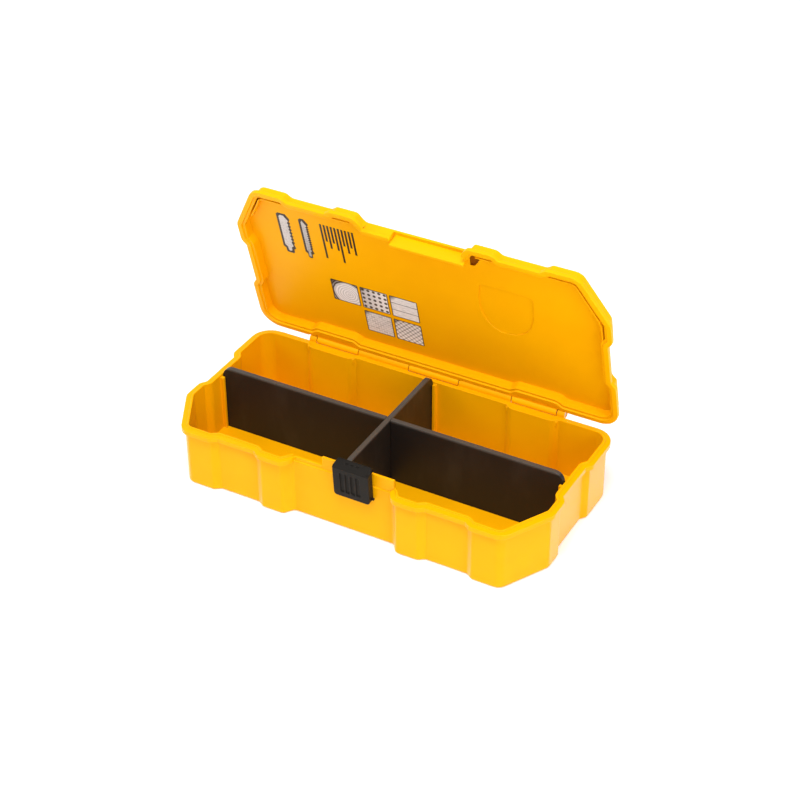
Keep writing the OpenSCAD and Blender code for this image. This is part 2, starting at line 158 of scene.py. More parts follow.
class Sheet:
    """A material's node tree, with one method that adds any node."""

    def __init__(self, name: str, own_map: str = "") -> None:
        """Starts an empty material.

        Args:
            name: The material's name.
            own_map: Name of the UV map that its patterns follow, or nothing for Object coordinates.
        """
        self.material = bpy.data.materials.new(name)
        self.material.use_nodes = True
        self.tree = self.material.node_tree
        self.tree.nodes.clear()
        if own_map:
            self.coordinates = self.node("ShaderNodeUVMap", {"uv_map": own_map}).outputs[0]
        else:
            self.coordinates = self.node("ShaderNodeTexCoord").outputs["Object"]

    def node(self, kind: str, settings: dict | None = None, inputs: dict | None = None) -> bpy.types.Node:
        """Adds a node.

        Args:
            kind: The node's type.
            settings: Its properties, which are set first.
            inputs: Values, sockets or Values for its sockets, by name or place.

        Returns:
            The new node.
        """
        made = self.tree.nodes.new(kind)
        for key, value in (settings or {}).items():
            setattr(made, key, value)
        for key, value in (inputs or {}).items():
            socket = made.inputs[key]
            if isinstance(value, Value):
                self.tree.links.new(value.socket, socket)
            elif isinstance(value, bpy.types.NodeSocket):
                self.tree.links.new(value, socket)
            else:
                socket.default_value = value
        return made

    def noise(self, scale: float, detail: float = 2.0, roughness: float = 0.5,
              stretch: Point = (1, 1, 1)) -> Value:
        """Adds a noise pattern on the object's own coordinates.

        Args:
            scale: Its scale, per metre.
            detail: Its octaves.
            roughness: How strong the finer octaves are.
            stretch: How much the pattern is squeezed along each axis.

        Returns:
            The noise, about 0 to 1.
        """
        placed = self.node("ShaderNodeMapping", inputs={"Vector": self.coordinates, "Scale": stretch})
        found = self.node("ShaderNodeTexNoise", inputs={
            "Vector": placed.outputs[0], "Scale": scale, "Detail": detail, "Roughness": roughness})
        return Value(self, found.outputs["Fac"])

    def axes(self, source: bpy.types.NodeSocket | None = None) -> tuple[Value, Value, Value]:
        """Splits coordinates into x, y and z.

        Args:
            source: The coordinates, or None for the material's own.

        Returns:
            The three axes.
        """
        split = self.node("ShaderNodeSeparateXYZ", inputs={0: source or self.coordinates})
        return tuple(Value(self, socket) for socket in split.outputs)

    def mix(self, share: Value, low: Point | bpy.types.NodeSocket, high: Point) -> bpy.types.NodeSocket:
        """Mixes two colours, or a colour socket and a colour.

        Args:
            share: How much of the second colour shows.
            low: The first colour or a colour socket.
            high: The second colour.

        Returns:
            The mixed colour's socket.
        """
        first = low if isinstance(low, bpy.types.NodeSocket) else (*low, 1.0)
        made = self.node("ShaderNodeMix", {"data_type": "RGBA"}, {0: share, 6: first, 7: (*high, 1.0)})
        return made.outputs[2]

    def finish(self, shader: dict, height: Value | None = None, strength: float = 0.2,
               distance: float = 0.0002, rounding: float = 0.0) -> bpy.types.Material:
        """Closes the material with a Principled shader.

        Args:
            shader: Values and links for the shader's sockets.
            height: The bump's height, if there is one.
            strength: The bump's strength.
            distance: The bump's depth in metres.
            rounding: Radius that softens the look of edges, in metres, or 0.

        Returns:
            The finished material.
        """
        inputs = dict(shader)
        if rounding > 0:
            inputs["Normal"] = self.node("ShaderNodeBevel", {"samples": 6}, {"Radius": rounding}).outputs[0]
        if height is not None:
            bump = {"Height": height, "Strength": strength, "Distance": distance}
            if "Normal" in inputs:
                bump["Normal"] = inputs["Normal"]
            inputs["Normal"] = self.node("ShaderNodeBump", inputs=bump).outputs[0]
        principled = self.node("ShaderNodeBsdfPrincipled", inputs=inputs)
        self.node("ShaderNodeOutputMaterial", inputs={0: principled.outputs[0]})
        return self.material


class LidPlace:
    """Where the lid stands: its closed drawing is turned open about the hinge line."""

    hinge = Vector((0.0, 0.059, 0.0386))
    turn = math.radians(74.2)

    @classmethod
    def opening(cls) -> Matrix:
        """Returns the matrix that opens a piece drawn on the closed lid."""
        turned = Matrix.Rotation(-cls.turn, 4, "X")
        return Matrix.Translation(cls.hinge) @ turned @ Matrix.Translation(-cls.hinge)

    @classmethod
    def shift(cls) -> Point:
        """Returns what a Mapping node adds after its turn to get back to the closed lid."""
        return tuple(cls.hinge - Matrix.Rotation(cls.turn, 3, "X") @ cls.hinge)


@dataclass(frozen=True)
class MouldedPlastic:
    """Satin moulded plastic with faint flow marks, fine grain and a soft clear skin.

    Attributes:
        name: The material's name.
        light: Its colour where the moulding flowed thin.
        deep: Its colour where it is thick.
        gloss: Roughness of the smooth skin.
        grain: Scale of the surface grain, per metre.
        relief: Strength of the grain's bump.
        skin: Weight of the clear skin.
        shine: Strength of its plain reflection.
        marks: Places of the ejector marks on the lid's panel, in the closed lid's x and y.
        ring_radius: Radius of an ejector mark's ring.
        ring_reach: Half the width of the ring.
        ring_heights: Heights on the closed lid between which the rings show.
        painted_shade_box: Corners of the box on the closed lid inside which the floor of the lid's corner
            hollow gets painted shade.
        painted_shade_tone: Dark brown colour painted there as shade.
    """

    name: str
    light: Point
    deep: Point
    gloss: float
    grain: float = 2600.0
    relief: float = 0.08
    skin: float = 0.06
    shine: float = 0.09
    marks: tuple[tuple[float, float], ...] = ()
    ring_radius: ClassVar[float] = 0.0024
    ring_reach: ClassVar[float] = 0.00035
    ring_heights: ClassVar[tuple[float, float]] = (0.0438, 0.0448)
    # Painted shade: the box and the dark colour that stand in for the shadow in the lid's corner hollow.
    painted_shade_box: ClassVar[tuple[Point, Point]] = ((0.03, -0.0487, 0.0446), (0.042, -0.036, 0.0456))
    painted_shade_tone: ClassVar[Point] = (0.27, 0.075, 0.0)

    def material(self) -> bpy.types.Material:
        """Builds the material.

        Returns:
            The finished material.
        """
        sheet = Sheet(self.name)
        flow = sheet.noise(9.0, 3.0, 0.55, (1.0, 1.6, 2.4))
        mottle = sheet.noise(60.0, 3.0, 0.6)
        share = (flow * 0.7 + mottle * 0.3).ramp(0.35, 0.68)
        grain = sheet.noise(self.grain, 2.0, 0.6)
        scuff = sheet.noise(420.0, 4.0, 0.7, (1.0, 1.0, 5.0)).ramp(0.56, 0.72)
        weight = sheet.node("ShaderNodeLayerWeight", inputs={"Blend": 0.5})
        slant = Value(sheet, weight.outputs["Facing"])
        colour = sheet.mix(share, self.deep, self.light)
        height = grain + mottle * 0.6
        if self.marks:
            closed = sheet.node("ShaderNodeMapping", inputs={
                "Vector": sheet.coordinates, "Rotation": (LidPlace.turn, 0.0, 0.0),
                "Location": LidPlace.shift()})
            x, y, z = sheet.axes(closed.outputs[0])
            height = height - self.ejector_rings(x, y, z) * 3.0
            # Painted shade: inside masks the floor of the lid's corner hollow beside the latch bay, which is
            # coloured dark brown for the shadow that falls there.
            (left, front, low), (right, rear, high) = self.painted_shade_box
            inside = (z > low) * (z < high) * (x > left) * (x < right) * (y < rear) * (y > front)
            colour = sheet.mix(inside, colour, self.painted_shade_tone)
        shader = {
            "Base Color": colour,
            "Roughness": self.gloss + mottle * 0.06 + scuff * 0.08,
            "IOR": 1.49,
            "Specular IOR Level": self.shine,
            "Coat Weight": slant.ramp(0.5, 0.64) * self.skin,
            "Coat Roughness": 0.25,
            "Coat IOR": 1.8,
        }
        return sheet.finish(shader, height, self.relief, 0.00008, 0.0003)

    def ejector_rings(self, x: Value, y: Value, z: Value) -> Value:
        """Draws the ejector marks on the lid's panel.

        Args:
            x: Place along the closed lid.
            y: Place across it.
            z: Height on it.

        Returns:
            1 on the marks' rings, else 0.
        """
        rings = None
        for mark_x, mark_y in self.marks:
            reach = ((x - mark_x) * (x - mark_x) + (y - mark_y) * (y - mark_y)).root()
            ring = (self.ring_reach - abs(reach - self.ring_radius)).ramp(0.0, 0.0002)
            rings = ring if rings is None else rings + ring
        low, high = self.ring_heights
        return rings * (z < high) * (z > low)


@dataclass(frozen=True)
class DividerPlastic:
    """Black brown plastic of the dividers, with ejector marks and handling smears.

    Attributes:
        name: The material's name.
        dark: Its colour.
        pale: Its colour where it is rubbed.
        gloss: Roughness of the plain face.
        across: True for the divider that stands across the case.
        rub_foot: Height from which the top edge is rubbed pale.
        mark_pitch: Distance between ejector marks.
        mark_height: Height of their middles.
        mark_radius: Radius of their rings.
    """

    name: str
    dark: Point
    pale: Point
    gloss: float
    across: bool = False
    rub_foot: ClassVar[float] = 0.0418
    mark_pitch: ClassVar[float] = 0.055
    mark_height: ClassVar[float] = 0.024
    mark_radius: ClassVar[float] = 0.0032

    def material(self) -> bpy.types.Material:
        """Builds the material.

        Returns:
            The finished material.
        """
        sheet = Sheet(self.name)
        x, y, z = sheet.axes()
        along = y if self.across else x
        fine = sheet.noise(3000.0, 2.0, 0.6)
        smear = sheet.noise(38.0, 4.0, 0.65, (1.0, 1.0, 0.35)).ramp(0.5, 0.75)
        rub = (z - self.rub_foot).ramp(0.0, 0.0012)
        step = ((along + 0.2) % self.mark_pitch) - self.mark_pitch / 2
        rise = z - self.mark_height
        reach = (step * step + rise * rise).root()
        mark = (0.0005 - abs(reach - self.mark_radius)).ramp(-0.0001, 0.0003)
        shader = {
            "Base Color": sheet.mix(rub * 0.6 + smear * 0.1, self.dark, self.pale),
            "Roughness": self.gloss - smear * 0.1 - rub * 0.06,
            "IOR": 1.5,
            "Specular IOR Level": 0.22,
            "Coat Weight": 0.03,
            "Coat Roughness": 0.3,
        }
        return sheet.finish(shader, fine * 0.4 - mark * 0.8, 0.15, 0.0001, 0.0003)


@dataclass(frozen=True)
class DrawnSteel:
    """Drawn steel rod with fine lines along it.

    Attributes:
        name: The material's name.
        colour: The metal's colour.
    """

    name: str
    colour: Point

    def material(self) -> bpy.types.Material:
        """Builds the material.

        Returns:
            The finished material.
        """
        sheet = Sheet(self.name)
        lines = sheet.noise(900.0, 3.0, 0.6, (0.04, 1.0, 1.0))
        shader = {
            "Base Color": sheet.mix(lines, tuple(c * 0.85 for c in self.colour), self.colour),
            "Metallic": 1.0,
            "Roughness": lines * 0.2 + 0.24,
        }
        return sheet.finish(shader, lines, 0.1, 0.00005)


class Motif(Enum):
    """Surface patterns of the printed tiles."""

    BOARDS = "boards"
    LOG_END = "log_end"
    BRICKS = "bricks"
    TREAD_PLATE = "tread_plate"
    PERFORATED = "perforated"


@dataclass(frozen=True)
class TileInk:
    """Grey print of one tile with a dark outline.

    Attributes:
        name: The material's name.
        motif: The pattern that it shows.
    """

    name: str
    motif: Motif

    def pattern(self, sheet: Sheet, u: Value, v: Value) -> Value:
        """Draws the motif.

        Args:
            sheet: The material's sheet.
            u: Place across the tile, 0 to 1.
            v: Place up the tile, 0 to 1.

        Returns:
            Its brightness, 0 to 1.
        """
        if self.motif is Motif.BOARDS:
            seam = abs(((v * 3.0) % 1.0) - 0.5).ramp(0.43, 0.49)
            grain = sheet.noise(6.0, 5.0, 0.7, (0.9, 6.0, 1.0))
            return 0.95 - grain.ramp(0.35, 0.7) * 0.35 - seam * 0.7
        if self.motif is Motif.LOG_END:
            wobble = sheet.noise(4.0, 3.0, 0.6)
            reach = ((u - 0.62) * (u - 0.62) + (v - 0.42) * (v - 0.42)).root() + wobble * 0.09
            ring = abs(((reach * 11.0) % 1.0) - 0.5).ramp(0.1, 0.42)
            return 0.9 - ring * 0.3 - reach.ramp(0.55, 0.62) * 0.6
        if self.motif is Motif.BRICKS:
            wall = sheet.node("ShaderNodeTexBrick", {"offset": 0.5}, {
                "Vector": sheet.coordinates, "Scale": 3.2, "Mortar Size": 0.03, "Brick Width": 0.62,
                "Row Height": 0.32, "Color1": (0.72, 0.72, 0.72, 1), "Color2": (0.5, 0.5, 0.5, 1),
                "Mortar": (0.95, 0.95, 0.95, 1)})
            grey = sheet.node("ShaderNodeRGBToBW", inputs={0: wall.outputs["Color"]})
            return Value(sheet, grey.outputs[0]) * (0.8 + sheet.noise(30.0, 3.0) * 0.35)
        if self.motif is Motif.TREAD_PLATE:
            bar = abs(((u + v) * 5.0 % 1.0) - 0.5).ramp(0.2, 0.3)
            cross = abs(((u - v + 4.0) * 5.0 % 1.0) - 0.5).ramp(0.3, 0.42)
            return 0.55 + bar * 0.3 - cross * 0.35 + (1 - v).ramp(0.3, 1.1) * 0.15
        du = ((u * 5.0) % 1.0) - 0.5
        dv = ((v * 5.0) % 1.0) - 0.5
        hole = (0.3 - (du * du + dv * dv).root()).ramp(-0.02, 0.03)
        return (0.55 + u * 0.4) * (1 - hole * 0.92)

    def material(self) -> bpy.types.Material:
        """Builds the material.

        Returns:
            The finished material.
        """
        sheet = Sheet(self.name, "print")
        u, v, _ = sheet.axes()
        edge = u.least(1 - u).least(v.least(1 - v))
        shade = (u + (1 - v)).ramp(0.12, 0.38)
        speck = sheet.noise(90.0, 2.0)
        tone = self.pattern(sheet, u, v) * (0.25 + shade * 0.75) * (0.92 + speck * 0.16)
        inside = edge.ramp(0.018, 0.04)
        shader = {
            "Base Color": sheet.mix(tone * inside, (0.012, 0.009, 0.007), (0.96, 0.92, 0.9)),
            "Roughness": 0.34 + speck * 0.12,
            "Specular IOR Level": 0.4,
        }
        return sheet.finish(shader, speck, 0.1, 0.00002)


@dataclass(frozen=True)
class PlainInk:
    """Printed ink in one tone, a little uneven.

    Attributes:
        name: The material's name.
        tone: Its colour.
        thin: Its colour where the print is thin.
    """

    name: str
    tone: Point
    thin: Point

    def material(self) -> bpy.types.Material:
        """Builds the material.

        Returns:
            The finished material.
        """
        sheet = Sheet(self.name)
        wear = sheet.noise(900.0, 3.0, 0.6)
        shader = {
            "Base Color": sheet.mix(wear.ramp(0.45, 0.75), self.tone, self.thin),
            "Roughness": 0.36 + wear * 0.1,
            "Specular IOR Level": 0.4,
        }
        return sheet.finish(shader, wear, 0.1, 0.00002)


@dataclass(frozen=True)
class StudioFloor:
    """Pale matt floor.

    Attributes:
        name: The material's name.
        colour: The floor's colour.
    """

    name: str
    colour: Point

    def material(self) -> bpy.types.Material:
        """Builds the material.

        Returns:
            The finished material.
        """
        sheet = Sheet(self.name)
        cloud = sheet.noise(2.0, 2.0)
        shader = {
            "Base Color": sheet.mix(cloud, tuple(c * 0.995 for c in self.colour), self.colour),
            "Roughness": 0.9,
            "Emission Color": (1.0, 1.0, 1.0, 1.0),
            "Emission Strength": 0.12,
        }
        return sheet.finish(shader)


class Bench:
    """Shapes meshes with Blender's own operators.

    Attributes:
        weld: Distance below which vertices are merged.
        flat: Angle below which faces are merged.
        fold: Angle between faces above which they fold back on each other.
        speck: Area of a triangle below which a tear doesn't matter.
        torn: Agreement of a triangle with its face below which the face is torn.
        trials: How often a rounding is tried.
        berth: Distance that rounded edges keep from a fold or tear, in widths of the rounding.
    """

    weld: float = 2e-6
    flat: float = math.radians(0.5)
    fold: float = math.radians(145)
    speck: float = 1e-10
    torn: float = 0.3
    trials: int = 4
    berth: float = 1.5

    @staticmethod
    def clear() -> None:
        """Leaves edit mode and deselects everything."""
        if bpy.context.object and bpy.context.object.mode != "OBJECT":
            bpy.ops.object.mode_set(mode="OBJECT")
        bpy.ops.object.select_all(action="DESELECT")

    @staticmethod
    def take(piece: bpy.types.Object) -> None:
        """Makes a piece the only one selected.

        Args:
            piece: The piece to work on.
        """
        Bench.clear()
        piece.hide_set(False)
        piece.select_set(True)
        bpy.context.view_layer.objects.active = piece

    @staticmethod
    def copy_of(node: str, name: str) -> bpy.types.Object:
        """Copies a solid of the frame and merges its loose triangles.

        Args:
            node: The solid's name.
            name: The copy's name.

        Returns:
            The copy, free of any parent.
        """
        Bench.take(frame["nodes"][node])
        bpy.ops.object.duplicate()
        piece = bpy.context.object
        bpy.ops.object.parent_clear(type="CLEAR_KEEP_TRANSFORM")
        piece.name = name
        piece.data.name = name
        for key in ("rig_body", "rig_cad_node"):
            if key in piece:
                del piece[key]
        bpy.ops.object.mode_set(mode="EDIT")
        bpy.ops.mesh.select_all(action="SELECT")
        bpy.ops.mesh.remove_doubles(threshold=Bench.weld)
        bpy.ops.mesh.dissolve_limited(angle_limit=Bench.flat)
        bpy.ops.mesh.select_all(action="DESELECT")
        bpy.ops.object.mode_set(mode="OBJECT")
        return piece

    @staticmethod
    def select_edges(piece: bpy.types.Object, rule: EdgeRule) -> int:
        """Selects the edges that a rule picks, in edit mode.

        Args:
            piece: The piece, which is left in edit mode.
            rule: Takes an edge's two ends and its angle in degrees.

        Returns:
            How many edges are selected.
        """
        bpy.ops.object.mode_set(mode="EDIT")
        bpy.ops.mesh.select_mode(type="EDGE")
        bpy.ops.mesh.select_all(action="DESELECT")
        mesh = bmesh.from_edit_mesh(piece.data)
        count = 0
        for edge in mesh.edges:
            if len(edge.link_faces) == 2:
                angle = math.degrees(edge.calc_face_angle_signed(0.0))
                if rule(edge.verts[0].co, edge.verts[1].co, angle):
                    edge.select_set(True)
                    count += 1
        bmesh.update_edit_mesh(piece.data)
        return count

    @staticmethod
    def folds(piece: bpy.types.Object) -> list[Vector]:
        """Finds where faces fold back on each other.

        Args:
            piece: The piece, in object mode.

        Returns:
            The middles of the folded edges.
        """
        mesh = bmesh.new()
        mesh.from_mesh(piece.data)
        mesh.normal_update()
        found = [(edge.verts[0].co + edge.verts[1].co) / 2 for edge in mesh.edges
                 if len(edge.link_faces) == 2 and edge.calc_face_angle(0.0) > Bench.fold]
        mesh.free()
        return found

    @staticmethod
    def crossings(piece: bpy.types.Object) -> list[Vector]:
        """Finds where the outline of a face crosses itself.

        Args:
            piece: The piece, in object mode.

        Returns:
            The crossings, or the middles of such faces where none is found.
        """
        mesh = piece.data
        mesh.calc_loop_triangles()
        torn_faces = {
            triangle.polygon_index for triangle in mesh.loop_triangles if triangle.area > Bench.speck
            and triangle.normal.dot(mesh.polygons[triangle.polygon_index].normal) < Bench.torn}
        spots = []
        for index in torn_faces:
            face = mesh.polygons[index]
            across = face.normal.orthogonal().normalized()
            up = face.normal.cross(across)
            ring = [mesh.vertices[i].co for i in face.vertices]
            flat = [Vector((point.dot(across), point.dot(up))) for point in ring]
            sides = [(flat[i], flat[(i + 1) % len(flat)]) for i in range(len(flat))]
            found = []
            for i, (a, b) in enumerate(sides):
                for c, d in sides[i + 2:len(sides) - (i == 0)]:
                    hit = intersect_line_line_2d(a, b, c, d)
                    if hit is not None:
                        found.append(across * hit.x + up * hit.y + face.normal * ring[0].dot(face.normal))
            spots += found or [face.center.copy()]
        return spots

    @staticmethod
    def clear_of(a: Vector, b: Vector, spots: Sequence[Vector], reach: float) -> bool:
        """Tells whether an edge keeps away from some spots.

        Args:
            a: One end of the edge.
            b: Its other end.
            spots: The spots.
            reach: The least distance.

        Returns:
            True where no spot lies within the distance.
        """
        for spot in spots:
            share = max(0.0, min(1.0, intersect_point_line(spot, a, b)[1]))
            if (a.lerp(b, share) - spot).length < reach:
                return False
        return True

    @staticmethod
    def bevel(piece: bpy.types.Object, rule: EdgeRule, width: float, segments: int) -> int:
        """Bevels the edges that a rule picks.

        Args:
            piece: The piece.
            rule: Takes an edge's two ends and its angle in degrees.
            width: The bevel's width in metres.
            segments: Its number of steps.

        Returns:
            How many edges were bevelled.
        """
        Bench.take(piece)
        count = Bench.select_edges(piece, rule)
        if count:
            bpy.ops.mesh.bevel(offset=width, segments=segments, affect="EDGES", clamp_overlap=False,
                               loop_slide=False)
        bpy.ops.mesh.select_all(action="DESELECT")
        bpy.ops.object.mode_set(mode="OBJECT")
        return count

    @staticmethod
    def round_edges(piece: bpy.types.Object, rule: EdgeRule, width: float, segments: int) -> int:
        """Rounds the edges that a rule picks, apart from those whose rounding would fold over.

        Args:
            piece: The piece.
            rule: Takes an edge's two ends and its angle in degrees.
            width: The rounding's width in metres.
            segments: Its number of steps.

        Returns:
            How many edges were rounded.
        """
        spots: list[Vector] = []

        def sound(a: Vector, b: Vector, angle: float) -> bool:
            """Returns whether the rule picks an edge that is away from every fold and tear."""
            return rule(a, b, angle) and Bench.clear_of(a, b, spots, Bench.berth * width)

        for _ in range(Bench.trials):
            trial = piece.copy()
            trial.data = piece.data.copy()
            bpy.context.scene.collection.objects.link(trial)
            Bench.bevel(trial, sound, width, segments)
            found = Bench.folds(trial) + Bench.crossings(trial)
            bpy.data.objects.remove(trial)
            spots += found
            if not found:
                break
        return Bench.bevel(piece, sound, width, segments)

    @staticmethod
    def plate(name: str, outline: Sequence[tuple[float, float]], low: float, high: float,
              edge: float = 0.0) -> bpy.types.Object:
        """Makes a flat solid from its outline.

        Args:
            name: The piece's name.
            outline: The outline's points, in metres.
            low: Height of its lower face.
            high: Height of its upper face.
            edge: Width of the bevel round its lower face, or 0.

        Returns:
            The solid.
        """
        Bench.clear()
        bpy.ops.mesh.primitive_circle_add(vertices=len(outline), radius=0.01)
        piece = bpy.context.object
        piece.name = name
        piece.data.name = name
        for vertex, (x, y) in zip(piece.data.vertices, outline):
            vertex.co = (x, y, low)
        bpy.ops.object.mode_set(mode="EDIT")
        bpy.ops.mesh.select_all(action="SELECT")
        bpy.ops.mesh.edge_face_add()
        bpy.ops.mesh.extrude_region_move(TRANSFORM_OT_translate={"value": (0.0, 0.0, high - low)})
        bpy.ops.mesh.select_all(action="SELECT")
        bpy.ops.mesh.normals_make_consistent(inside=False)
        bpy.ops.object.mode_set(mode="OBJECT")
        if edge > 0:
            Bench.bevel(piece, lambda a, b, angle: max(a.z, b.z) < low + 1e-6, edge, 2)
        return piece

    @staticmethod
    def open_out(piece: bpy.types.Object) -> None:
        """Turns a piece drawn on the closed lid to where the lid stands.

        Args:
            piece: The piece.
        """
        Bench.take(piece)
        piece.matrix_world = LidPlace.opening()
        bpy.ops.object.transform_apply(location=True, rotation=True, scale=True)

    @staticmethod
    def join(pieces: Sequence[bpy.types.Object], name: str) -> bpy.types.Object:
        """Joins pieces into one object.

        Args:
            pieces: The pieces.
            name: The joined object's name.

        Returns:
            The joined object.
        """
        Bench.take(pieces[0])
        for piece in pieces:
            piece.select_set(True)
        bpy.ops.object.join()
        joined = bpy.context.object
        joined.name = name
        joined.data.name = name
        return joined

    @staticmethod
    def smooth(piece: bpy.types.Object, degrees: float = 38.0) -> None:
        """Smooths the shading of a piece below an angle.

        Args:
            piece: The piece.
            degrees: The angle.
        """
        Bench.take(piece)
        bpy.ops.object.shade_smooth_by_angle(angle=math.radians(degrees))
        bpy.ops.object.modifier_add(type="WEIGHTED_NORMAL")
        modifier = piece.modifiers[-1]
        modifier.keep_sharp = True
        modifier.weight = 100
        bpy.ops.object.modifier_apply(modifier=modifier.name)
        Bench.clear()


@dataclass(frozen=True)
class Hollow:
    """A shallow hollow in the lid's inner face, drawn on the closed lid.

    Attributes:
        outline: Its corners, in millimetres.
        depth: Its depth in metres.
        face: Height of the closed lid's inner face.
        clear: How far the cutter stands out of that face.
    """

    outline: tuple[tuple[float, float], ...]
    depth: float
    face: float = PANEL_FACE
    clear: float = 1.0 * MM

    def cut(self, piece: bpy.types.Object) -> None:
        """Cuts the hollow into a piece of the open lid.

        Args:
            piece: The piece.
        """
        points = [(x * MM, y * MM) for x, y in self.outline]
        cutter = Bench.plate("hollow_cutter", points, self.face - self.clear, self.face + self.depth)
        Bench.open_out(cutter)
        Bench.take(piece)
        bpy.ops.object.modifier_add(type="BOOLEAN")
        modifier = piece.modifiers[-1]
        modifier.operation = "DIFFERENCE"
        modifier.solver = "EXACT"
        modifier.object = cutter
        bpy.ops.object.modifier_apply(modifier=modifier.name)
        bpy.data.objects.remove(cutter)


@dataclass
class Shell:
    """One moulded piece of the frame, redrawn with rounded edges.

    Attributes:
        node: The solid that it stands for.
        name: The piece's name.
        body: The body that it rides on.
        slot: The record's material slot; not used.
        finish: Its finish.
        rounding: Width of its edges' rounding, in metres.
        limit: Smallest angle of an edge that is rounded.
        foot: Width of the rounding of its lowest edges, or 0.
        hollows: Hollows that are cut into it.
        ground: Height below which an edge is one of the lowest.
    """

    node: str
    name: str
    body: str
    slot: str
    finish: MouldedPlastic | DividerPlastic | DrawnSteel
    rounding: float = 0.0003
    limit: float = 40.0
    foot: float = 0.0
    hollows: tuple[Hollow, ...] = ()
    ground: float = 1e-6

    def is_foot(self, a: Vector, b: Vector, angle: float) -> bool:
        """Returns whether an edge is a sharp one on the ground, from its ends and its angle in degrees."""
        return max(a.z, b.z) < self.ground and angle > self.limit

    def is_sharp(self, a: Vector, b: Vector, angle: float) -> bool:
        """Returns whether an edge is sharp, from its ends and its angle in degrees."""
        return abs(angle) > self.limit

    def build(self) -> bpy.types.Object:
        """Copies the solid, rounds its edges and dresses it.

        Returns:
            The finished piece.
        """
        piece = Bench.copy_of(self.node, self.name)
        for hollow in self.hollows:
            hollow.cut(piece)
        count = 0
        if self.foot > 0:
            count += Bench.bevel(piece, self.is_foot, self.foot, 4)
        count += Bench.round_edges(piece, self.is_sharp, self.rounding, 2)
        Bench.smooth(piece)
        piece.data.materials.clear()
        piece.data.materials.append(self.finish.material())
        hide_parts(self.node)
        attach(piece, self.body)
        LOG.info("%s: %d edges rounded, %d faces", self.name, count, len(piece.data.polygons))
        return piece


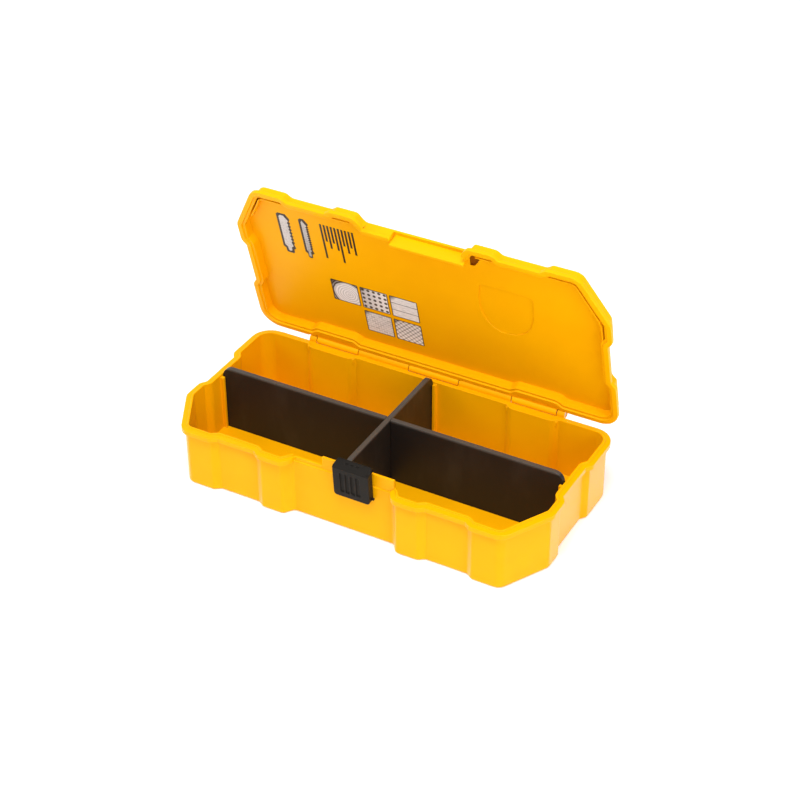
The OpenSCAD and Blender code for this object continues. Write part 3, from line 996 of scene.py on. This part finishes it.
@dataclass
class PanelPrint:
    """Everything printed on the lid's inner panel.

    Attributes:
        face: Height of the closed lid's inner face.
        lift: Thickness of the print.
        tile: Width and depth of one tile.
        corner: Size of a tile's cut corners.
        tiles: Left front corner of each tile and its motif.
        border: Width of a blade's dark outline.
        bite: Depth of its teeth.
        tick_left: Place of the scale's first tick, in millimetres.
        tick_foot: Front end of the ticks.
        tick_pitch: Distance between ticks, in millimetres.
        tick_width: Width of a tick.
        tick_reaches: Lengths of the ticks in turn, in millimetres.
    """

    face: float = PANEL_FACE
    lift: float = 0.06 * MM
    tile: tuple[float, float] = (18.0 * MM, 17.0 * MM)
    corner: float = 0.5 * MM
    tiles: tuple[tuple[float, float, Motif], ...] = (
        (-64.5 * MM, 6.5 * MM, Motif.LOG_END),
        (-45.0 * MM, 6.5 * MM, Motif.PERFORATED),
        (-25.5 * MM, 6.5 * MM, Motif.BOARDS),
        (-45.0 * MM, 26.0 * MM, Motif.BRICKS),
        (-25.5 * MM, 26.0 * MM, Motif.TREAD_PLATE),
    )
    border: float = 1.45 * MM
    bite: float = 0.9 * MM
    tick_left: float = -63.5
    tick_foot: float = -37.5 * MM
    tick_pitch: float = 2.3
    tick_width: float = 1.3 * MM
    tick_reaches: tuple[float, ...] = (27.0, 13.0, 18.0, 13.0, 18.0)

    def tile_piece(self, x: float, y: float, motif: Motif) -> bpy.types.Object:
        """Prints one tile.

        Args:
            x: Its left edge.
            y: Its front edge.
            motif: Its pattern.

        Returns:
            The tile.
        """
        w, d = self.tile
        r = self.corner
        corners = ((x + r, y), (x + w - r, y), (x + w, y + r), (x + w, y + d - r),
                   (x + w - r, y + d), (x + r, y + d), (x, y + d - r), (x, y + r))
        piece = Bench.plate(f"printed_tile_{motif.value}", corners, self.face - self.lift, self.face)
        layer = piece.data.uv_layers.new(name="print")
        for loop in piece.data.loops:
            spot = piece.data.vertices[loop.vertex_index].co
            layer.data[loop.index].uv = ((spot.x - x) / w, 1 - (spot.y - y) / d)
        piece.data.materials.append(TileInk(f"tile_ink_{motif.value}", motif).material())
        return piece

    def blade(self, name: str, x: float, y: float, length: float, width: float,
              pitch: float) -> list[bpy.types.Object]:
        """Prints the picture of a plain straight blade: its dark outline and its light body.

        Args:
            name: The picture's name.
            x: Middle of the blade.
            y: Its front end.
            length: Its length.
            width: Its width.
            pitch: Distance between its teeth.

        Returns:
            The outline and the body.
        """
        pieces = []
        nose, tang, waist = 1.2 * MM, 2.4 * MM, 1.6 * MM
        for part, inset, lift in (("outline", 0.0, self.lift), ("body", self.border, 1.6 * self.lift)):
            left, right = x - width / 2 + inset, x + width / 2 - inset
            low, high = y + inset, y + length - inset
            points = [(left + nose, low), (right - tang, low), (right, low + 3.2 * MM)]
            count = int((high - low - 9 * MM) / pitch)
            for i in range(count):
                start = low + 4 * MM + i * pitch
                points += [(right, start), (right - self.bite, start + pitch * 0.55)]
            points += [
                (right, high - 4.5 * MM), (right - waist, high - 3 * MM), (right - waist, high - 0.8 * MM),
                (right - tang, high), (left + tang, high), (left + waist, high - 0.8 * MM),
                (left + waist, high - 3 * MM), (left, high - 4.5 * MM), (left, low + nose)]
            pieces.append(Bench.plate(f"{name}_{part}", points, self.face - lift, self.face))
        return pieces

    def ticks(self) -> bpy.types.Object:
        """Prints a plain scale of ticks.

        Returns:
            The scale.
        """
        marks = []
        for i in range(10):
            x = (self.tick_left + self.tick_pitch * i) * MM
            foot = self.tick_foot
            head = foot + self.tick_reaches[i % len(self.tick_reaches)] * MM
            box = ((x, foot), (x + self.tick_width, foot), (x + self.tick_width, head), (x, head))
            marks.append(Bench.plate("tick", box, self.face - self.lift, self.face))
        return Bench.join(marks, "printed_scale")

    def build(self) -> None:
        """Makes every print and lays it on the open lid."""
        dark = PlainInk("print_ink_dark", (0.016, 0.008, 0.004), (0.07, 0.03, 0.006)).material()
        pale = PlainInk("print_ink_pale", (0.62, 0.58, 0.56), (0.4, 0.37, 0.35)).material()
        pieces = [self.tile_piece(*tile) for tile in self.tiles]
        blades = self.blade("printed_blade_wide", -88.0 * MM, -37.5 * MM, 31.0 * MM, 8.5 * MM, 2.6 * MM)
        blades += self.blade("printed_blade_slim", -74.5 * MM, -37.5 * MM, 31.0 * MM, 6.0 * MM, 1.7 * MM)
        for piece in blades:
            piece.data.materials.append(pale if piece.name.endswith("body") else dark)
        scale = self.ticks()
        scale.data.materials.append(dark)
        for piece in pieces + blades + [scale]:
            Bench.open_out(piece)
            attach(piece, "lid")
            LOG.info("%s printed", piece.name)


@dataclass
class InnerLip:
    """Narrow lip along the pads inside the lid, drawn on the closed lid.

    Attributes:
        face: Height of the closed lid's inner face.
        foot: Height of the lip's free edge.
        thickness: Its thickness.
        root: How far it reaches into the panel.
        edge: Width of the bevel along its free edge.
        beside_bay: The run beside the latch bay, on the right, in millimetres.
        right_corner: The run round the right corner, in millimetres.
        left_corner: The run round the left corner, drawn as on the right, in millimetres.
    """

    face: float = PANEL_FACE
    foot: float = 38.9 * MM
    thickness: float = 0.8 * MM
    root: float = 0.3 * MM
    edge: float = 0.2 * MM
    beside_bay: tuple[tuple[float, float], ...] = ((39.0, -51.0), (52.0, -51.0))
    right_corner: tuple[tuple[float, float], ...] = (
        (79.5, -51.0), (95.6, -51.0), (98.2, -49.6), (110.0, -27.6), (111.4, -23.4), (111.4, -12.5))
    left_corner: tuple[tuple[float, float], ...] = (
        (79.5, -51.0), (95.6, -51.0), (98.2, -49.6), (106.0, -35.0))

    def run(self, path: Sequence[tuple[float, float]], side: int) -> bpy.types.Object:
        """Stands one run of the lip.

        Args:
            path: Corners of its outer side, in millimetres.
            side: 1 for the right side of the lid, -1 for the left.

        Returns:
            The run.
        """
        points = [Vector((side * x, y)) * MM for x, y in path]
        outer, inner = [], []
        for i, point in enumerate(points):
            before = points[max(i - 1, 0)]
            after = points[min(i + 1, len(points) - 1)]
            first = (point - before).normalized() if i else (after - point).normalized()
            second = (after - point).normalized() if i < len(points) - 1 else first
            normal = Vector((-first.y - second.y, first.x + second.x)) * side
            normal = normal.normalized() / max(0.5, math.cos(first.angle(second) / 2))
            outer.append(tuple(point))
            inner.append(tuple(point + normal * self.thickness))
        return Bench.plate("lip", outer + inner[::-1], self.foot, self.face + self.root, self.edge)

    def build(self) -> None:
        """Makes the lip and stands it in the open lid."""
        runs = ((self.beside_bay, 1), (self.beside_bay, -1), (self.right_corner, 1), (self.left_corner, -1))
        piece = Bench.join([self.run(*run) for run in runs], "lid_inner_lip")
        Bench.open_out(piece)
        Bench.smooth(piece)
        piece.data.materials.append(ORANGE_LID.material())
        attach(piece, "lid")
        LOG.info("%s: %d faces", piece.name, len(piece.data.polygons))


@dataclass
class Studio:
    """Floor, lamps, sky and camera.

    Attributes:
        azimuth: Turn of the camera about the case, in degrees.
        elevation: Height of the camera above the horizon, in degrees.
        roll: Tilt of the camera about its view, in degrees.
        distance: Distance of the camera from its target, in metres.
        target: The point that it looks at.
        lens: Its focal length for a 36 mm sensor.
        lamps: Name, place and power in watts of each lamp.
        lamp_size: Width of each lamp.
        lamp_aim: The point that the lamps shine at.
        sky: Strength of the sky.
    """

    azimuth: float = 29.109
    elevation: float = 34.953
    roll: float = -0.327
    distance: float = 1.05758
    target: Point = (0.00929, 0.0, 0.05987)
    lens: float = 85.8565
    lamps: tuple[tuple[str, Point, float], ...] = (
        ("top_lamp", (0.18, -0.42, 1.32), 15.0),
        ("left_lamp", (-1.0, -0.3, 0.75), 5.5),
        ("side_lamp", (1.0, -0.5, 0.5), 5.0),
    )
    lamp_size: float = 0.6
    lamp_aim: Point = (0.0, 0.0, 0.05)
    sky: float = 0.55

    def camera(self) -> None:
        """Places the camera at the photograph's angle."""
        az, el, turn = (math.radians(v) for v in (self.azimuth, self.elevation, self.roll))
        back = Vector((math.sin(az) * math.cos(el), -math.cos(az) * math.cos(el), math.sin(el)))
        right = (-back).cross(Vector((0, 0, 1))).normalized()
        up = right.cross(-back)
        c, s = math.cos(turn), math.sin(turn)
        right, up = c * right + s * up, c * up - s * right
        data = bpy.data.cameras.new("camera")
        data.lens = self.lens
        data.sensor_width = 36.0
        data.clip_start = 0.01
        made = bpy.data.objects.new("camera", data)
        bpy.context.scene.collection.objects.link(made)
        turned = Matrix((right, up, back)).transposed().to_4x4()
        made.matrix_world = Matrix.Translation(Vector(self.target) + back * self.distance) @ turned
        bpy.context.scene.camera = made

    def lamp(self, name: str, place: Point, power: float) -> None:
        """Adds a square soft lamp.

        Args:
            name: The lamp's name.
            place: Where it stands.
            power: Its power in watts.
        """
        data = bpy.data.lights.new(name, "AREA")
        data.shape = "SQUARE"
        data.size = self.lamp_size
        data.energy = power
        made = bpy.data.objects.new(name, data)
        bpy.context.scene.collection.objects.link(made)
        made.location = place
        made.rotation_euler = (Vector(self.lamp_aim) - Vector(place)).to_track_quat("-Z", "Y").to_euler()

    def build(self) -> None:
        """Makes the floor, the sky and the lamps."""
        Bench.clear()
        bpy.ops.mesh.primitive_plane_add(size=8.0, location=(0, 0, -0.0002))
        floor = bpy.context.object
        floor.name = "floor"
        bpy.ops.object.transform_apply(location=True, rotation=True, scale=True)
        floor.data.materials.append(StudioFloor("studio_floor", (0.95, 0.95, 0.95)).material())
        world = bpy.data.worlds.new("studio_sky")
        world.use_nodes = True
        background = world.node_tree.nodes["Background"]
        background.inputs["Color"].default_value = (1.0, 1.0, 1.0, 1.0)
        background.inputs["Strength"].default_value = self.sky
        bpy.context.scene.world = world
        bpy.context.scene.view_settings.view_transform = "Standard"
        for lamp in self.lamps:
            self.lamp(*lamp)
        self.camera()


TOOL_REST = Hollow((
    (37.4, -24.5), (65.6, -24.5), (67.4, -23.6), (68.4, -21.4), (68.2, -15.9), (67.1, -5.9), (65.0, 0.6),
    (62.2, 4.9), (58.2, 8.1), (53.6, 10.1), (49.2, 10.8), (44.9, 10.3), (41.4, 8.4), (38.0, 5.0),
    (36.0, 1.0), (34.7, -3.4), (34.2, -9.6), (34.5, -15.3), (35.6, -21.4), (36.2, -23.6)), 0.55 * MM)
CORNER_POCKET = Hollow((
    (32.0, -37.6), (35.1, -38.6), (37.4, -42.0), (39.6, -46.6), (39.6, -48.5), (33.0, -48.5), (32.4, -43.9)),
    1.25 * MM)
LID_MARKS = (
    (-0.108, 0.027), (-0.108, -0.012), (0.088, -0.03), (0.096, 0.022), (-0.02, -0.036), (0.02, 0.036),
    (-0.086, 0.04))
ORANGE_BASE = MouldedPlastic("amber_base_plastic", (0.86, 0.395, 0.0), (0.83, 0.37, 0.0), 0.36, skin=0.45)
ORANGE_LID = MouldedPlastic("amber_lid_plastic", (0.94, 0.435, 0.0), (0.91, 0.405, 0.0), 0.36, skin=0.1,
                            marks=LID_MARKS)
BLACK_LATCH = MouldedPlastic("black_latch_plastic", (0.013, 0.0105, 0.008), (0.009, 0.0075, 0.006), 0.36,
                             relief=0.12)
BLACK_PIN = MouldedPlastic("black_pin_plastic", (0.02, 0.015, 0.012), (0.012, 0.009, 0.008), 0.4)
LONG_BLACK = DividerPlastic("long_divider_plastic", (0.012, 0.0095, 0.0085), (0.09, 0.08, 0.07), 0.42)
CROSS_BLACK = DividerPlastic("cross_divider_plastic", (0.014, 0.011, 0.009), (0.09, 0.08, 0.07), 0.42, True)
PIN_STEEL = DrawnSteel("hinge_pin_steel", (0.6, 0.6, 0.6))


def main() -> None:
    """Builds every piece in order."""
    logging.basicConfig(level=logging.INFO, format="%(name)s: %(message)s")
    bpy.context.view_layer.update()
    shells = (
        Shell("base_tub", "moulded_base", "base", "base_plastic", ORANGE_BASE, foot=1.4 * MM),
        Shell("lid", "moulded_lid", "lid", "lid_plastic", ORANGE_LID, hollows=(TOOL_REST, CORNER_POCKET)),
        Shell("latch", "moulded_latch", "latch", "latch_plastic", BLACK_LATCH, 0.0002),
        Shell("long_divider", "moulded_long_divider", "base", "divider_plastic", LONG_BLACK),
        Shell("cross_divider", "moulded_cross_divider", "base", "divider_plastic", CROSS_BLACK),
        Shell("hinge_pin", "drawn_hinge_pin", "base", "pin_steel", PIN_STEEL, 0.0002),
        Shell("latch_pin", "moulded_latch_pin", "base", "latch_pin_plastic", BLACK_PIN, 0.0002),
    )
    for shell in shells:
        shell.build()
    InnerLip().build()
    PanelPrint().build()
    Studio().build()


if __name__ == "__main__":
    main()
